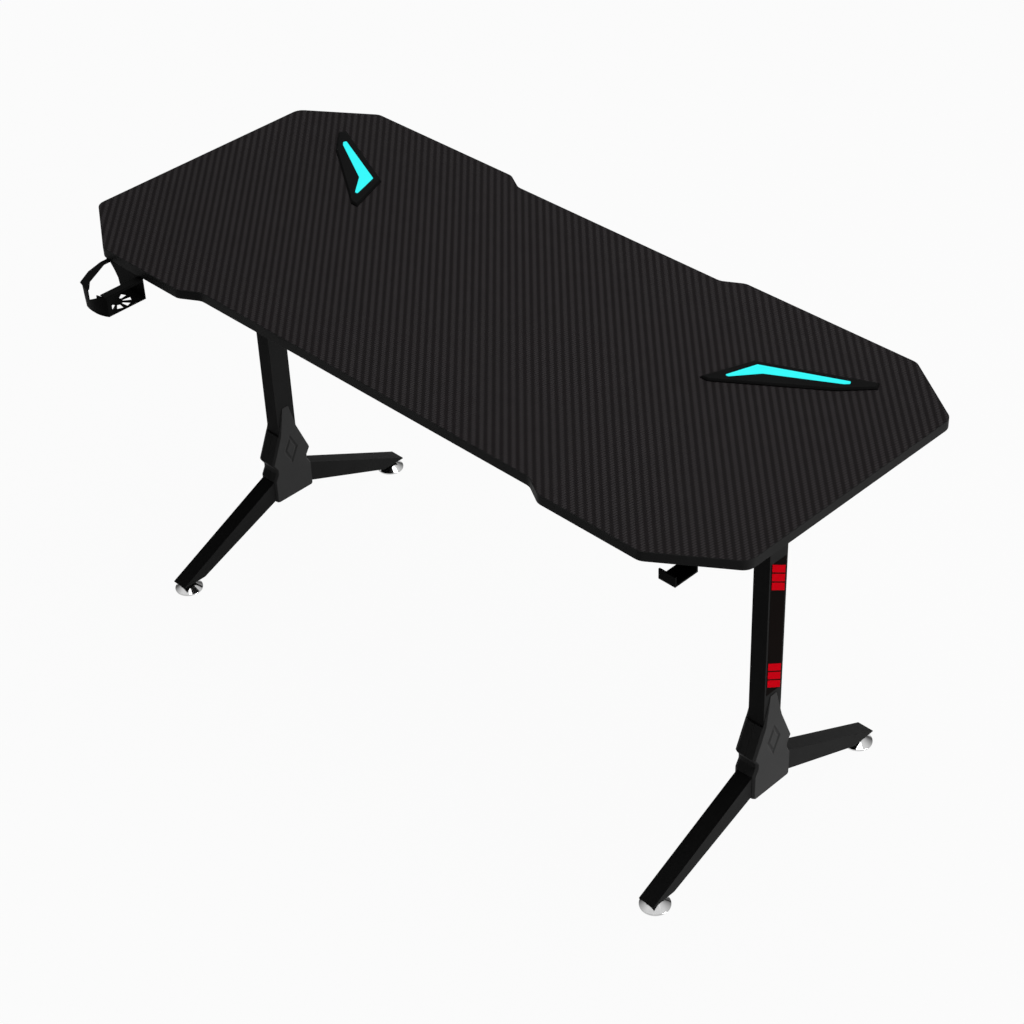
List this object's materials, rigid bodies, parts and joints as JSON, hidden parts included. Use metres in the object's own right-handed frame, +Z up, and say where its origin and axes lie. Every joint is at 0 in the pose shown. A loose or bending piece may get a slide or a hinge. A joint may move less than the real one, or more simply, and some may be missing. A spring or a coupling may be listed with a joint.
{
  "type": "gaming desk",
  "caption": "Gaming desk with a chamfered carbon-look top, lit corner inlays, Y-shaped steel legs on screw glides, a cup holder and a headset hook.",
  "frame": {"origin": "on the floor, in the middle of the bounding box", "axes": "+X to the sitter's right along the top, +Y away from the sitter, +Z up"},
  "size_m": [1.4, 0.677, 0.7291],
  "materials": {
    "board": "black-faced particle board",
    "carbon_laminate": "carbon-weave pattern, satin",
    "edge_band": "satin black edging",
    "bezel": "smooth black",
    "lens": "lit, diffusing",
    "tray": "moulded black",
    "circuit_board": "white solder mask",
    "socket": "moulded black",
    "frame_paint": "fine-textured black powder coat",
    "bolt_steel": "blackened",
    "stud_steel": "zinc plated",
    "cover_plastic": "satin dark grey",
    "film": "smooth black film",
    "stripe_red": "red print",
    "bell_chrome": "polished",
    "pad_rubber": "moulded",
    "holder_paint": "fine-textured black powder coat"
  },
  "bodies": {
    "desk": {"top_core": "board", "top_laminate": "carbon_laminate", "top_edge_band": "edge_band", "rail_front": "frame_paint", "rail_rear": "frame_paint", "rail_bolts": "bolt_steel", "wood_screws": "bolt_steel", "arm_bolts": "bolt_steel", "glide_studs": "stud_steel", "cup_basket": "holder_paint", "cup_rim_left": "holder_paint", "cup_rim_right": "holder_paint", "headset_hook": "holder_paint", "light_bezel_right": "bezel", "light_lens_right": "lens", "light_tray_right": "tray", "light_board_right": "circuit_board", "light_inlet_right": "socket", "channel_right": "frame_paint", "column_right": "frame_paint", "arm_rear_right": "frame_paint", "arm_front_right": "frame_paint", "cover_outer_right": "cover_plastic", "cover_inner_right": "cover_plastic", "stripe_film_right": "film", "stripes_right": "stripe_red", "light_bezel_left": "bezel", "light_lens_left": "lens", "light_tray_left": "tray", "light_board_left": "circuit_board", "light_inlet_left": "socket", "channel_left": "frame_paint", "column_left": "frame_paint", "arm_rear_left": "frame_paint", "arm_front_left": "frame_paint", "cover_outer_left": "cover_plastic", "cover_inner_left": "cover_plastic", "stripe_film_left": "film", "stripes_left": "stripe_red"},
    "pad_front_left": {"glide_pad_front_left": "pad_rubber"},
    "bell_front_left": {"glide_bell_front_left": "bell_chrome"},
    "pad_front_right": {"glide_pad_front_right": "pad_rubber"},
    "bell_front_right": {"glide_bell_front_right": "bell_chrome"},
    "pad_rear_left": {"glide_pad_rear_left": "pad_rubber"},
    "bell_rear_left": {"glide_bell_rear_left": "bell_chrome"},
    "pad_rear_right": {"glide_pad_rear_right": "pad_rubber"},
    "bell_rear_right": {"glide_bell_rear_right": "bell_chrome"}
  },
  "joints": [
    {"name": "glide_lower_front_left", "type": "slide", "parent": "desk", "child": "pad_front_left", "axis": [0, 0, -1], "range_m": [0, 0.005]},
    {"name": "glide_turn_front_left", "type": "hinge", "parent": "pad_front_left", "child": "bell_front_left", "pos_m": [-0.562, -0.2075, 0.008], "axis": [0, 0, -1], "range_deg": [0, 1441]},
    {"name": "glide_lower_front_right", "type": "slide", "parent": "desk", "child": "pad_front_right", "axis": [0, 0, -1], "range_m": [0, 0.005]},
    {"name": "glide_turn_front_right", "type": "hinge", "parent": "pad_front_right", "child": "bell_front_right", "pos_m": [0.562, -0.2075, 0.008], "axis": [0, 0, -1], "range_deg": [0, 1441]},
    {"name": "glide_lower_rear_left", "type": "slide", "parent": "desk", "child": "pad_rear_left", "axis": [0, 0, -1], "range_m": [0, 0.005]},
    {"name": "glide_turn_rear_left", "type": "hinge", "parent": "pad_rear_left", "child": "bell_rear_left", "pos_m": [-0.562, 0.2845, 0.008], "axis": [0, 0, -1], "range_deg": [0, 1441]},
    {"name": "glide_lower_rear_right", "type": "slide", "parent": "desk", "child": "pad_rear_right", "axis": [0, 0, -1], "range_m": [0, 0.005]},
    {"name": "glide_turn_rear_right", "type": "hinge", "parent": "pad_rear_right", "child": "bell_rear_right", "pos_m": [0.562, 0.2845, 0.008], "axis": [0, 0, -1], "range_deg": [0, 1441]}
  ],
  "couplings": [
    {"joint": "glide_turn_front_left", "follows": "glide_lower_front_left", "rad_per_m": 5026.5},
    {"joint": "glide_turn_front_right", "follows": "glide_lower_front_right", "rad_per_m": 5026.5},
    {"joint": "glide_turn_rear_left", "follows": "glide_lower_rear_left", "rad_per_m": 5026.5},
    {"joint": "glide_turn_rear_right", "follows": "glide_lower_rear_right", "rad_per_m": 5026.5}
  ]
}
